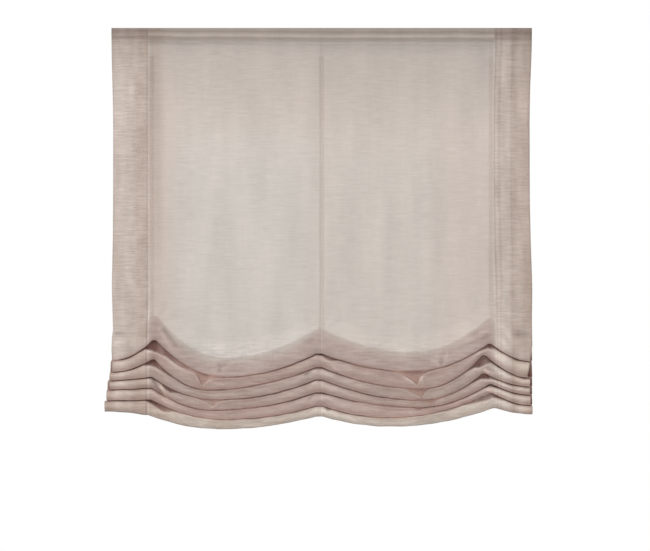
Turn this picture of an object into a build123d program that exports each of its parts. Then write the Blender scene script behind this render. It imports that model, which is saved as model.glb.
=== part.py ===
"""Sheer relaxed Roman blind on its head rail, partly raised: its lower third hangs in five soft folds.

Millimetres. X runs along the rail, Y points to the wall, which is the plane Y = 0, and Z is up.
The origin is on the wall face, midway between the two brackets, at the height of their screw holes.
"""

from build123d import *
import math
import os

os.makedirs("parts", exist_ok=True)

# Cloth
cloth_width = 1000.0
cloth_thickness = 1.0
heading_height = 44.0
top_above_rail = 3.6
cloth_gap = 0.3

# Tapes sewn to the back of the cloth, with a woven loop for the lift cord at each ring height
tape_width = 12.0
tape_thickness = 0.5
tape_from_side = 96.0
tape_gap = 0.3
tape_below_heading = 3.0
loop_spacing = 150.0
loop_width = 5.4
loop_bar = 0.9
loop_play = 0.3

# Lower edges of the five folds and of the hem: how far below the top of the cloth each hangs,
# at the left side, left tape, left swag, middle tape, right swag, right tape and right side
fold_drops = [
    [790.0, 743.0, 828.0, 775.0, 814.0, 751.0, 792.0],
    [818.0, 788.0, 857.0, 807.0, 856.0, 779.0, 831.0],
    [837.0, 829.0, 882.0, 836.0, 883.0, 820.0, 852.0],
    [859.0, 856.0, 907.0, 866.0, 901.0, 846.0, 872.0],
    [885.0, 884.0, 929.0, 899.0, 924.0, 869.0, 896.0],
]
hem_drops = [911.0, 920.0, 951.0, 924.0, 945.0, 905.0, 920.0]
swag_share_left = 0.62
swag_share_right = 0.59

# How each fold turns
overlap_at_tape = 58.0
overlap_in_swag = 43.0
bulge_at_tape = 20.0
bulge_in_swag = 31.0
fold_radius = 4.2
gather_radius = 1.5
fold_gap = 1.8
crest_below_edge = 4.4
gather_behind_cloth = 3.5
slack_depth = 1.5
swell_height = 45.0

# Head rail
rail_depth = 30.0
rail_height = 28.0
rail_wall = 1.3
rail_lip = 7.0
rail_behind = 5.0
rail_top = 12.0
rail_end_inset = 10.0
rib_height = 0.8
rib_width = 1.6

# Hook and loop strips
strip_play = 0.2
strip_height = 20.0
strip_thickness = 1.2
strip_end_inset = 6.0

# Square shaft and cord spools
shaft_size = 6.0
shaft_play = 0.1
shaft_chamfer = 0.4
shaft_forward = 20.5
shaft_below_rail_top = 15.5
drum_radius = 8.0
drum_length = 30.0
flange_radius = 10.0
flange_thickness = 1.2
journal_radius = 4.6
journal_length = 3.2
running_play = 0.05

# Lift cord
cord_radius = 0.7
wound_turns = 11
cord_clearance = 0.3

# Cord toggle below the last loop
toggle_radius = 3.0
toggle_top_radius = 2.0
toggle_length = 14.0
toggle_below_loop = 8.0
toggle_chamfer = 0.8
toggle_play = 0.1
knot_height = 3.0

# Spool cradle
cradle_wall = 2.0
cradle_floor = 1.0
cradle_depth = 26.0
cradle_height = 17.0
cradle_side_play = 0.3
snap_share = 0.88
slot_length = 24.0
slot_depth = 6.0
slot_behind_cord = 1.0
cradle_corner = 2.0

# End cap
cap_flange = 3.0
cap_plug_length = 10.0
cap_play = 0.15
cap_wall = 1.6
cap_web = 2.0
edge_chamfer = 0.6
bush_radius = 5.0
bush_length = 6.0
bush_play = 0.3
bush_past_web = 0.5
collar_height = 1.2
collar_width = 1.2

# Chain drive
drive_drop = 4.0
drive_wall = 1.6
drive_plug_length = 12.0
corner_radius = 3.0
bead_pitch_radius = 9.6
bead_radius = 2.2
bead_count = 10
pocket_play = 0.1
wheel_radius = 10.4
wheel_width = 8.0
link_groove_width = 1.8
link_groove_depth = 1.6
wheel_side_play = 0.4
hub_radius = 6.4
post_radius = 3.4
cup_radius = 5.6
cup_depth = 6.2
hub_length = 10.0
socket_depth = 11.0
socket_end_play = 0.4
outlet_play = 0.5
boss_radius = 2.4
boss_inset = 3.6
spring_wire = 0.9
spring_turns = 4
spring_play = 0.12
post_end_play = 0.6
cover_thickness = 1.8
screw_radius = 1.1
screw_head_radius = 2.0
screw_head_height = 0.9
screw_length = 6.0
screw_end_play = 0.5

# Wall brackets with a swivelling cam lever
bracket_spacing = 600.0
bracket_width = 26.0
bracket_plate = 1.5
bracket_leg = 27.0
bracket_reach = 27.0
wall_screw_radius = 2.5
bend_radius = 1.4
lever_plate = 1.4
lever_play = 0.1
lever_width = 9.0
lever_reach = 15.5
lever_boss_radius = 5.5
lever_neck = 7.0
stem_radius = 3.0
cam_length = 26.0
cam_width = 13.0
cam_thickness = 1.6
cam_play = 0.2

# Places that follow from the sizes above
half_width = cloth_width / 2
tape_x = half_width - tape_from_side
tape_centres = {"left": -tape_x, "centre": 0.0, "right": tape_x}
rail_back_y = -rail_behind
rail_front_y = rail_back_y - rail_depth
rail_bottom = rail_top - rail_height
strip_front_y = rail_front_y - 2 * strip_thickness
cloth_y = strip_front_y - cloth_gap - cloth_thickness / 2
cloth_top = rail_top + top_above_rail
gather_y = cloth_y + gather_behind_cloth
shaft_y = -shaft_forward
shaft_z = rail_top - shaft_below_rail_top
cord_y = shaft_y - drum_radius - cord_radius
slot_y = cord_y + slot_behind_cord
rail_left = -half_width + rail_end_inset
drive_length = drive_wall + wheel_width + 2 * wheel_side_play + cover_thickness
rail_right = half_width - rail_end_inset - drive_length
tape_hold = tape_width / 2 + 1
tape_offset = cloth_thickness / 2 + tape_gap + tape_thickness / 2


def keep(part, label):
    part.label = label
    export_step(part, f"parts/{label}.step")


def hang(x, drops):
    """Drop of a lower edge at x: from each tape the cloth falls in a parabola to the bottom of its swag."""
    stations = [
        (-half_width, drops[0], False),
        (-tape_x - tape_hold, drops[1], True),
        (-tape_x + tape_hold, drops[1], True),
        (-tape_x * swag_share_left, drops[2], False),
        (-tape_hold, drops[3], True),
        (tape_hold, drops[3], True),
        (tape_x * swag_share_right, drops[4], False),
        (tape_x - tape_hold, drops[5], True),
        (tape_x + tape_hold, drops[5], True),
        (half_width, drops[6], False),
    ]
    for start, end in zip(stations, stations[1:]):
        if start[0] <= x <= end[0]:
            held, free = (start, end) if start[2] else (end, start)
            share = (x - held[0]) / (free[0] - held[0])
            return free[1] + (held[1] - free[1]) * (1 - share) ** 2
    raise ValueError(f"{x} is beside the cloth")


def swag(x):
    """0 where a tape holds the cloth and beside the side tapes, 1 at the lowest point of each swag."""
    low = tape_x * (swag_share_left if x < 0 else swag_share_right)
    if abs(x) < low:
        reach = (abs(x) - tape_hold) / (low - tape_hold)
    else:
        reach = (tape_x - tape_hold - abs(x)) / (tape_x - tape_hold - low)
    return math.sin(max(0.0, reach) * math.pi / 2)


def sheet_path(x):
    """The cloth's middle line at x as (y, drop): down the front, then round and back up at each fold."""
    bulge = bulge_at_tape + (bulge_in_swag - bulge_at_tape) * swag(x)
    overlap = overlap_at_tape + (overlap_in_swag - overlap_at_tape) * swag(x)
    front = cloth_y - bulge
    first_top = hang(x, fold_drops[0]) - overlap
    swell_start = first_top - swell_height
    path = [
        (cloth_y, 0.0),
        (cloth_y, heading_height),
        (cloth_y + slack_depth, first_top * 0.5),
        (cloth_y, swell_start),
    ]
    r = fold_radius
    fall = first_top + overlap - r - swell_start
    for share in (0.3, 0.55, 0.8):
        path.append((cloth_y - bulge * share**2 * (3 - 2 * share), swell_start + fall * share))
    for i, drops in enumerate(fold_drops):
        edge = hang(x, drops)
        top = edge - overlap
        if i:
            path += [(front + 2 * r + fold_gap, above), (front, above + crest_below_edge)]
        path += [
            (front, edge - r),
            (front + 0.3 * r, edge - 0.3 * r),
            (front + r, edge),
            (front + 1.7 * r, edge - 0.3 * r),
            (front + 2 * r, edge - r),
            (gather_y - gather_radius, top + gather_radius),
            (gather_y, top),
            (gather_y + gather_radius, top + gather_radius),
        ]
        above = edge
    end = hang(x, hem_drops)
    path += [
        (front + 2 * r + fold_gap, above),
        (front + 1.2 * r, (above + end) / 2),
        (front + r, end),
    ]
    return path


def offset_path(path, distance):
    """The path moved sideways by distance, towards the wall side of the cloth where it is positive."""
    moved = []
    for i, (y, drop) in enumerate(path):
        before = path[max(i - 1, 0)]
        after = path[min(i + 1, len(path) - 1)]
        into = Vector(y - before[0], drop - before[1]) if i else Vector(after[0] - y, after[1] - drop)
        out = Vector(after[0] - y, after[1] - drop) if i < len(path) - 1 else into
        side_in = Vector(into.Y, -into.X).normalized()
        side_out = Vector(out.Y, -out.X).normalized()
        middle = (side_in + side_out).normalized()
        mitre = distance / max(middle.dot(side_in), 0.5)
        moved.append((y + middle.X * mitre, drop + middle.Y * mitre))
    return moved


def depth_at(path, drop):
    """Y of the path where it first passes the given drop."""
    for start, end in zip(path, path[1:]):
        if start[1] <= drop <= end[1]:
            return start[0] + (end[0] - start[0]) * (drop - start[1]) / (end[1] - start[1])
    raise ValueError(f"{drop} is past the end of the path")


def ribbon(path, thickness):
    """Closed outline of a strip of the given thickness along the path, as (y, z)."""
    front = offset_path(path, -thickness / 2)
    back = offset_path(path, thickness / 2)
    return [(y, cloth_top - drop) for y, drop in front + back[::-1]]


def spread(start, end, count):
    return [start + (end - start) * i / count for i in range(count)]


def gather_drops(x):
    """Drops at which the lift cord gathers the folds of the tape at x."""
    return [hang(x, drops) - overlap_at_tape + 2 * gather_radius for drops in fold_drops]


# Cloth: one sheet, lofted through its profile at stations across the width, closer where the swags curve
swag_left_x = -tape_x * swag_share_left
swag_right_x = tape_x * swag_share_right
stations = (
    spread(-half_width, -tape_x - tape_hold, 2)
    + spread(-tape_x - tape_hold, -tape_x + tape_hold, 1)
    + spread(-tape_x + tape_hold, swag_left_x, 4)
    + spread(swag_left_x, -tape_hold, 5)
    + spread(-tape_hold, tape_hold, 1)
    + spread(tape_hold, swag_right_x, 5)
    + spread(swag_right_x, tape_x - tape_hold, 4)
    + spread(tape_x - tape_hold, tape_x + tape_hold, 1)
    + spread(tape_x + tape_hold, half_width, 2)
    + [half_width]
)
with BuildPart() as blind_cloth:
    for x in stations:
        with BuildSketch(Plane.YZ.offset(x)):
            with BuildLine():
                Polyline(*ribbon(sheet_path(x), cloth_thickness), close=True)
            make_face()
    loft(ruled=True, clean=False)
keep(blind_cloth.part, "blind_cloth")

# Tapes: a strip that follows the back of the cloth, and a loop round the cord at each ring height
for side, x in tape_centres.items():
    path = offset_path(sheet_path(x)[1:-1], tape_offset)
    path[0] = (path[0][0], heading_height + tape_below_heading)
    gathers = gather_drops(x)
    flat_loops = int((gathers[0] - path[0][1]) / loop_spacing)
    loop_back = cord_y + cord_radius + loop_bar
    with BuildPart() as tape:
        with BuildSketch(Plane.YZ.offset(x - tape_width / 2)):
            with BuildLine():
                Polyline(*ribbon(path, tape_thickness), close=True)
            make_face()
        extrude(amount=tape_width)
        for i in range(flat_loops):
            drop = gathers[0] - (i + 1) * loop_spacing
            tape_y = depth_at(path, drop)
            with BuildSketch(Plane.XY.offset(cloth_top - drop)):
                with Locations((x, (tape_y + loop_back) / 2)):
                    Rectangle(loop_width, loop_back - tape_y)
                    Rectangle(
                        loop_width - 2 * loop_bar,
                        loop_back - tape_y - 2 * loop_bar,
                        mode=Mode.SUBTRACT,
                    )
            extrude(amount=loop_bar)
        for drop in gathers:
            tape_y = gather_y + gather_radius + tape_offset
            with BuildSketch(Plane.XY.offset(cloth_top - drop)):
                with Locations((x, (tape_y + loop_back) / 2)):
                    Rectangle(loop_width, loop_back - tape_y)
                with Locations((x, cord_y)):
                    Rectangle(loop_width - 2 * loop_bar, 2 * (cord_radius + loop_play), mode=Mode.SUBTRACT)
            extrude(amount=loop_bar)
    keep(tape.part, f"tape_{side}")

# Lift cords: straight runs from the spools to the toggles, and the turns that are wound on the spools
toggle_tops = {}
winding_length = wound_turns * 2 * cord_radius
for side, x in tape_centres.items():
    toggle_tops[side] = cloth_top - gather_drops(x)[-1] - toggle_below_loop
    cord_top = shaft_z - math.sqrt((drum_radius + 2 * cord_radius + cord_clearance) ** 2 - drum_radius**2)
    cord_bottom = toggle_tops[side] - toggle_length + knot_height
    with BuildPart() as lift_cord:
        with BuildSketch(Plane.XY.offset(cord_bottom)):
            with Locations((x, cord_y)):
                Circle(cord_radius)
        extrude(amount=cord_top - cord_bottom)
    keep(lift_cord.part, f"lift_cord_{side}")

    with BuildPart() as winding:
        with BuildSketch(Plane.YZ.offset(x - winding_length / 2)):
            with Locations((shaft_y, shaft_z)):
                Circle(drum_radius + 2 * cord_radius)
                Circle(drum_radius, mode=Mode.SUBTRACT)
        extrude(amount=winding_length)
    keep(winding.part, f"cord_winding_{side}")

    toggle_bore = cord_radius + toggle_play
    with BuildPart() as toggle:
        toggle_foot = (x, cord_y, toggle_tops[side] - toggle_length)
        with BuildSketch(Plane(toggle_foot, x_dir=(1, 0, 0), z_dir=(0, -1, 0))):
            with BuildLine():
                Polyline(
                    (toggle_bore, 0),
                    (toggle_radius - toggle_chamfer, 0),
                    (toggle_radius, toggle_chamfer),
                    (toggle_top_radius, toggle_length - toggle_chamfer),
                    (toggle_top_radius - toggle_chamfer, toggle_length),
                    (toggle_bore, toggle_length),
                    close=True,
                )
            make_face()
        revolve(axis=Axis((x, cord_y, 0), (0, 0, 1)))
    keep(toggle.part, f"cord_toggle_{side}")

# Cord spools: a drum between two flanges, on journals, with a square bore for the shaft
spool_length = drum_length + 2 * flange_thickness + 2 * journal_length
for side, x in tape_centres.items():
    with BuildPart() as spool:
        for radius, length in (
            (journal_radius, spool_length),
            (flange_radius, drum_length + 2 * flange_thickness),
        ):
            with BuildSketch(Plane.YZ.offset(x - length / 2)):
                with Locations((shaft_y, shaft_z)):
                    Circle(radius)
            extrude(amount=length)
        with BuildSketch(Plane.YZ.offset(x - drum_length / 2)):
            with Locations((shaft_y, shaft_z)):
                Circle(flange_radius)
                Circle(drum_radius, mode=Mode.SUBTRACT)
        extrude(amount=drum_length, mode=Mode.SUBTRACT)
        with BuildSketch(Plane.YZ.offset(x - spool_length / 2)):
            with Locations((shaft_y, shaft_z)):
                Rectangle(shaft_size + 2 * shaft_play, shaft_size + 2 * shaft_play)
        extrude(amount=spool_length, mode=Mode.SUBTRACT)
    keep(spool.part, f"cord_spool_{side}")

# Spool cradles: a moulded tray in the rail with two bearing walls and a slot for the cord
cradle_bottom = rail_bottom + rail_wall
cradle_back_y = rail_back_y - rail_wall - cradle_side_play
cradle_front_y = cradle_back_y - cradle_depth
cradle_gap = drum_length + 2 * flange_thickness + 2 * cradle_side_play
cradle_length = cradle_gap + 2 * cradle_wall
for side, x in tape_centres.items():
    with BuildPart() as cradle:
        with BuildSketch(Plane.XY.offset(cradle_bottom)):
            with Locations((x, (cradle_back_y + cradle_front_y) / 2)):
                Rectangle(cradle_length, cradle_depth)
            with Locations((x, slot_y)):
                Rectangle(slot_length, slot_depth, mode=Mode.SUBTRACT)
        extrude(amount=cradle_floor)
        for wall_x in (x - cradle_length / 2, x + cradle_gap / 2):
            with BuildSketch(Plane.YZ.offset(wall_x)):
                with Locations(((cradle_back_y + cradle_front_y) / 2, cradle_bottom + cradle_height / 2)):
                    RectangleRounded(cradle_depth, cradle_height, cradle_corner)
                with Locations((shaft_y, shaft_z)):
                    Circle(journal_radius + running_play, mode=Mode.SUBTRACT)
                with Locations((shaft_y, shaft_z + journal_radius)):
                    Rectangle(2 * snap_share * journal_radius, 2 * journal_radius, mode=Mode.SUBTRACT)
            extrude(amount=cradle_wall)
    keep(cradle.part, f"spool_cradle_{side}")

# Head rail: an aluminium channel with inward lips, two ribs beside the hook strip and the cords' slots
rail_length = rail_right - rail_left
rail_middle_y = (rail_back_y + rail_front_y) / 2
rail_middle_z = (rail_top + rail_bottom) / 2
chamber_depth = rail_depth - 2 * rail_wall
chamber_height = rail_height - 2 * rail_wall
strip_z = rail_middle_z
rib_from_middle = (strip_height + rib_width) / 2 + strip_play
with BuildPart() as head_rail:
    with BuildSketch(Plane.YZ.offset(rail_left)):
        with Locations((rail_middle_y, rail_middle_z)):
            Rectangle(rail_depth, rail_height)
            Rectangle(chamber_depth, chamber_height, mode=Mode.SUBTRACT)
        with Locations((rail_middle_y, rail_top - rail_wall / 2)):
            Rectangle(rail_depth - 2 * rail_lip, rail_wall, mode=Mode.SUBTRACT)
        for way in (-1, 1):
            with Locations((rail_front_y - rib_height / 2, strip_z + way * rib_from_middle)):
                Rectangle(rib_height, rib_width)
    extrude(amount=rail_length)
    with BuildSketch(Plane.XY.offset(rail_bottom)):
        for x in tape_centres.values():
            with Locations((x, slot_y)):
                SlotOverall(slot_length, slot_depth)
    extrude(amount=rail_wall, mode=Mode.SUBTRACT)
keep(head_rail.part, "head_rail")

# Hook strip on the rail and loop strip on the cloth
strip_length = rail_length - 2 * strip_end_inset
for label, front in (("hook_strip", rail_front_y), ("loop_strip", rail_front_y - strip_thickness)):
    with BuildPart() as strip:
        with BuildSketch(Plane.YZ.offset(rail_left + strip_end_inset)):
            with Locations((front - strip_thickness / 2, strip_z)):
                Rectangle(strip_thickness, strip_height)
        extrude(amount=strip_length)
    keep(strip.part, label)

# End cap: a flange and a hollow plug, with a bearing web for the bush
plug_depth = chamber_depth - 2 * cap_play
plug_height = chamber_height - 2 * cap_play
web_start = rail_left + cap_plug_length - cap_web
with BuildPart() as end_cap:
    with BuildSketch(Plane.YZ.offset(rail_left - cap_flange)):
        with Locations((rail_middle_y, rail_middle_z)):
            RectangleRounded(rail_depth, rail_height, corner_radius)
    extrude(amount=cap_flange)
    chamfer(end_cap.faces().sort_by(Axis.X)[0].edges(), edge_chamfer)
    with BuildSketch(Plane.YZ.offset(rail_left)):
        with Locations((rail_middle_y, rail_middle_z)):
            Rectangle(plug_depth, plug_height)
            Rectangle(plug_depth - 2 * cap_wall, plug_height - 2 * cap_wall, mode=Mode.SUBTRACT)
    extrude(amount=cap_plug_length)
    with BuildSketch(Plane.YZ.offset(web_start)):
        with Locations((rail_middle_y, rail_middle_z)):
            Rectangle(plug_depth, plug_height)
        with Locations((shaft_y, shaft_z)):
            Circle(bush_radius + running_play, mode=Mode.SUBTRACT)
    extrude(amount=cap_web)
keep(end_cap.part, "end_cap")

# Turning bush on the free end of the shaft, with a collar that stops it against the web
bush_start = web_start - bush_length + cap_web + bush_past_web
with BuildPart() as shaft_bush:
    with BuildSketch(Plane.YZ.offset(bush_start)):
        with Locations((shaft_y, shaft_z)):
            Circle(bush_radius)
    extrude(amount=bush_length)
    with BuildSketch(Plane.YZ.offset(rail_left + cap_plug_length + bush_play)):
        with Locations((shaft_y, shaft_z)):
            Circle(bush_radius + collar_height)
    extrude(amount=collar_width)
    with BuildSketch(Plane.YZ.offset(bush_start)):
        with Locations((shaft_y, shaft_z)):
            Rectangle(shaft_size + 2 * shaft_play, shaft_size + 2 * shaft_play)
    extrude(amount=bush_length + collar_width + bush_play, mode=Mode.SUBTRACT)
keep(shaft_bush.part, "shaft_bush")

# Square drive shaft, from the bush to the socket of the chain wheel
wheel_left = rail_right + drive_wall + wheel_side_play
wheel_right = wheel_left + wheel_width
socket_left = wheel_left - hub_length
shaft_left = bush_start + bush_past_web
shaft_right = socket_left + socket_depth - socket_end_play
with BuildPart() as drive_shaft:
    with BuildSketch(Plane.YZ.offset(shaft_left)):
        with Locations((shaft_y, shaft_z)):
            Rectangle(shaft_size, shaft_size)
    extrude(amount=shaft_right - shaft_left)
    chamfer(drive_shaft.edges().filter_by(Axis.X), shaft_chamfer)
keep(drive_shaft.part, "drive_shaft")

# Drive housing: a box on the end of the rail, open to the side, with a plug and two chain outlets
housing_height = rail_height + drive_drop
housing_middle_z = rail_top - housing_height / 2
cover_left = wheel_right + wheel_side_play
wheel_middle = (wheel_left + wheel_right) / 2
boss_z = rail_top - boss_inset
boss_places = [(rail_front_y + boss_inset, boss_z), (rail_back_y - boss_inset, boss_z)]
with BuildPart() as drive_housing:
    with BuildSketch(Plane.YZ.offset(rail_right)):
        with Locations((rail_middle_y, housing_middle_z)):
            RectangleRounded(rail_depth, housing_height, corner_radius)
    extrude(amount=cover_left - rail_right)
    with BuildSketch(Plane.YZ.offset(rail_right + drive_wall)):
        with Locations((rail_middle_y, housing_middle_z)):
            RectangleRounded(
                rail_depth - 2 * drive_wall,
                housing_height - 2 * drive_wall,
                corner_radius - drive_wall,
            )
        with Locations(*boss_places):
            Circle(boss_radius, mode=Mode.SUBTRACT)
    extrude(amount=cover_left - rail_right, mode=Mode.SUBTRACT)
    with BuildSketch(Plane.YZ.offset(rail_right - drive_plug_length)):
        with Locations((rail_middle_y, rail_middle_z)):
            Rectangle(plug_depth, plug_height)
            Rectangle(plug_depth - 2 * drive_wall, plug_height - 2 * drive_wall, mode=Mode.SUBTRACT)
    extrude(amount=drive_plug_length)
    with BuildSketch(Plane.YZ.offset(rail_right)):
        with Locations((shaft_y, shaft_z)):
            Circle(hub_radius + running_play)
    extrude(amount=drive_wall, mode=Mode.SUBTRACT)
    with BuildSketch(Plane.XY.offset(rail_bottom - drive_drop)):
        for way in (-1, 1):
            with Locations((wheel_middle, shaft_y + way * bead_pitch_radius)):
                Circle(bead_radius + outlet_play)
    extrude(amount=drive_wall, mode=Mode.SUBTRACT)
    with BuildSketch(Plane.YZ.offset(cover_left - screw_length)):
        with Locations(*boss_places):
            Circle(screw_radius + running_play)
    extrude(amount=screw_length, mode=Mode.SUBTRACT)
keep(drive_housing.part, "drive_housing")

# Cover with the fixed post of the brake
with BuildPart() as drive_cover:
    with BuildSketch(Plane.YZ.offset(cover_left)):
        with Locations((rail_middle_y, housing_middle_z)):
            RectangleRounded(rail_depth, housing_height, corner_radius)
        with Locations(*boss_places):
            Circle(screw_radius + running_play, mode=Mode.SUBTRACT)
    extrude(amount=cover_thickness)
    chamfer(drive_cover.faces().sort_by(Axis.X)[-1].outer_wire().edges(), edge_chamfer)
    with BuildSketch(Plane.YZ.offset(cover_left + cover_thickness - screw_head_height)):
        with Locations(*boss_places):
            Circle(screw_head_radius + running_play)
    extrude(amount=screw_head_height, mode=Mode.SUBTRACT)
    with BuildSketch(Plane.YZ.offset(wheel_right - cup_depth + post_end_play)):
        with Locations((shaft_y, shaft_z)):
            Circle(post_radius)
    extrude(amount=cover_left - wheel_right + cup_depth - post_end_play)
keep(drive_cover.part, "drive_cover")

# Cover screws
with BuildPart() as cover_screws:
    for place in boss_places:
        with BuildSketch(Plane.YZ.offset(cover_left + cover_thickness - screw_head_height)):
            with Locations(place):
                Circle(screw_head_radius)
        extrude(amount=screw_head_height)
        with BuildSketch(Plane.YZ.offset(cover_left - screw_length + screw_end_play)):
            with Locations(place):
                Circle(screw_radius)
        extrude(amount=screw_length - screw_end_play + cover_thickness - screw_head_height)
keep(cover_screws.part, "cover_screws")

# Chain wheel: bead pockets round a grooved rim, a hub with a square socket and a cup for the brake spring
pocket_radius = bead_radius + pocket_play
with BuildPart() as chain_wheel:
    with BuildSketch(Plane.YZ.offset(wheel_left)):
        with Locations((shaft_y, shaft_z)):
            Circle(wheel_radius)
    extrude(amount=wheel_width)
    with BuildSketch(Plane.YZ.offset(socket_left)):
        with Locations((shaft_y, shaft_z)):
            Circle(hub_radius)
    extrude(amount=hub_length)
    with BuildSketch(Plane.YZ.offset(wheel_right - cup_depth)):
        with Locations((shaft_y, shaft_z)):
            Circle(cup_radius)
    extrude(amount=cup_depth, mode=Mode.SUBTRACT)
    with BuildSketch(Plane.YZ.offset(socket_left)):
        with Locations((shaft_y, shaft_z)):
            Rectangle(shaft_size + 2 * shaft_play, shaft_size + 2 * shaft_play)
    extrude(amount=socket_depth, mode=Mode.SUBTRACT)
    with BuildSketch(Plane.YZ.offset(wheel_middle - link_groove_width / 2)):
        with Locations((shaft_y, shaft_z)):
            Circle(wheel_radius)
            Circle(wheel_radius - link_groove_depth, mode=Mode.SUBTRACT)
    extrude(amount=link_groove_width, mode=Mode.SUBTRACT)
    with BuildSketch(Plane.YZ.offset(wheel_middle - pocket_radius)):
        with Locations((shaft_y, shaft_z)):
            with PolarLocations(bead_pitch_radius, bead_count):
                Circle(pocket_radius)
    extrude(amount=2 * pocket_radius, mode=Mode.SUBTRACT)
keep(chain_wheel.part, "chain_wheel")

# Wrap spring of the brake, wound from square wire round the post
spring_radius = post_radius + spring_play + spring_wire / 2
spring_pitch = spring_wire + spring_play
with BuildPart() as wrap_spring:
    with BuildLine():
        coil = Helix(
            spring_pitch,
            spring_pitch * spring_turns,
            spring_radius,
            center=(wheel_right - cup_depth + spring_wire, shaft_y, shaft_z),
            direction=(1, 0, 0),
        )
    with BuildSketch(Plane(coil @ 0, z_dir=coil % 0)):
        Rectangle(spring_wire, spring_wire)
    sweep(is_frenet=True)
keep(wrap_spring.part, "wrap_spring")

# Brackets: a bent steel strip with a wall screw hole, and a lever whose cam turns under the lips of the rail
cam_top = rail_top - rail_wall - cam_play
lever_bottom = rail_top + bracket_plate + lever_play
for side, x in {"left": -bracket_spacing / 2, "right": bracket_spacing / 2}.items():
    with BuildPart() as bracket:
        with BuildSketch(Plane.YZ.offset(x - bracket_width / 2)):
            with BuildLine():
                outside = FilletPolyline(
                    (0, rail_top + bracket_plate - bracket_leg),
                    (0, rail_top + bracket_plate),
                    (-bracket_reach, rail_top + bracket_plate),
                    radius=bend_radius + bracket_plate,
                )
                inside = FilletPolyline(
                    (-bracket_plate, rail_top + bracket_plate - bracket_leg),
                    (-bracket_plate, rail_top),
                    (-bracket_reach, rail_top),
                    radius=bend_radius,
                )
                Line(outside @ 0, inside @ 0)
                Line(outside @ 1, inside @ 1)
            make_face()
        extrude(amount=bracket_width)
        with BuildSketch(Plane.XZ):
            with Locations((x, 0)):
                Circle(wall_screw_radius)
        extrude(amount=bracket_plate, mode=Mode.SUBTRACT)
        with BuildSketch(Plane.XY.offset(rail_top)):
            with Locations((x, rail_middle_y)):
                Circle(stem_radius + running_play)
        extrude(amount=bracket_plate, mode=Mode.SUBTRACT)
        ends = bracket.edges().filter_by(Axis.Z).sort_by(Axis.Y)[:2]
        fillet(ends, corner_radius)
    keep(bracket.part, f"bracket_{side}")

    with BuildPart() as lever:
        with BuildSketch(Plane.XY.offset(cam_top - cam_thickness)):
            with Locations((x, rail_middle_y)):
                Circle(cam_length / 2)
                Rectangle(cam_width, cam_length, mode=Mode.INTERSECT)
        extrude(amount=cam_thickness)
        with BuildSketch(Plane.XY.offset(cam_top)):
            with Locations((x, rail_middle_y)):
                Circle(stem_radius)
        extrude(amount=lever_bottom - cam_top)
        with BuildSketch(Plane.XY.offset(lever_bottom)):
            with Locations((x, rail_middle_y)):
                Circle(lever_boss_radius)
            with Locations((x + lever_reach / 2, rail_middle_y)):
                Rectangle(lever_reach, lever_neck)
            with Locations((x + lever_reach - lever_width / 2, rail_middle_y)):
                Circle(lever_width / 2)
        extrude(amount=lever_plate)
    keep(lever.part, f"bracket_lever_{side}")
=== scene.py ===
"""A sheer soft-fold Roman blind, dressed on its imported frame: voile with hems and five folds, tapes,
lift cords, and finishes for the head rail and its fittings. Metres, in the frame's own axes: X along
the rail, Z up, front is -Y."""

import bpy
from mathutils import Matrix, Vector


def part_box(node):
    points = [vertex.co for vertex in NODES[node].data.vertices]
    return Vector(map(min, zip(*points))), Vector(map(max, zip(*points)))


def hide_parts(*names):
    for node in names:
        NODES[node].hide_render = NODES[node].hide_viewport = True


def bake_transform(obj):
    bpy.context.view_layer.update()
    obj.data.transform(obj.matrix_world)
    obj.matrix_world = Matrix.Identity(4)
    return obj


bl_info = {
    "name": "Soft-fold Roman Blind",
    "version": (1, 0, 0),
    "blender": (4, 5, 0),
    "location": "View3D > Sidebar > Blind",
    "description": "Models the cloth, tapes and cords of a soft-fold Roman blind and finishes its head rail",
    "category": "Object",
}

import math

import bmesh
import bpy
import numpy as np
from bpy.props import FloatProperty, FloatVectorProperty, PointerProperty
from mathutils import Vector, noise

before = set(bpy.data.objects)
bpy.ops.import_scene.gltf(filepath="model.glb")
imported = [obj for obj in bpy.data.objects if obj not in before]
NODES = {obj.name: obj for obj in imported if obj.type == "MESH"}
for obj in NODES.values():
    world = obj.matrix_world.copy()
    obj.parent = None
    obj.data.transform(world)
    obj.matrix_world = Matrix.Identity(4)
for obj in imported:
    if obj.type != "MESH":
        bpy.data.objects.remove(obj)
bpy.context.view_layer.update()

# The frame
SIDES = ("left", "centre", "right")

CLOTH_LOW, CLOTH_HIGH = (Vector(corner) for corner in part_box("blind_cloth"))
CLOTH_TOP = CLOTH_HIGH.z
HALF_WIDTH = CLOTH_HIGH.x
STRIP_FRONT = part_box("loop_strip")[0][1]
CORD_LOW, CORD_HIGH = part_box("lift_cord_centre")
CORD_Y = (CORD_LOW[1] + CORD_HIGH[1]) / 2
CORD_RADIUS = (CORD_HIGH[0] - CORD_LOW[0]) / 2

# How the photograph is framed, in its own pixels
PHOTO_WIDTH = 650
PHOTO_HEIGHT = 551
PHOTO_CLOTH_WIDTH = 420.0
PHOTO_CLOTH_CENTRE = 321.5
PHOTO_CLOTH_TOP = 28.0
PIXEL = 2 * HALF_WIDTH / PHOTO_CLOTH_WIDTH
ROUNDING = 1e-9

# Cloth
CLOTH_BEHIND_STRIP = 0.0008
HEADING = 0.044
TOP_HEM = 0.027
SIDE_HEM = 0.088
BOTTOM_HEM = 0.048
LAYER_GAP = 0.0009
TOP_HEM_LAYER = 0.5
SIDE_HEM_LAYER = 0.6

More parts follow.
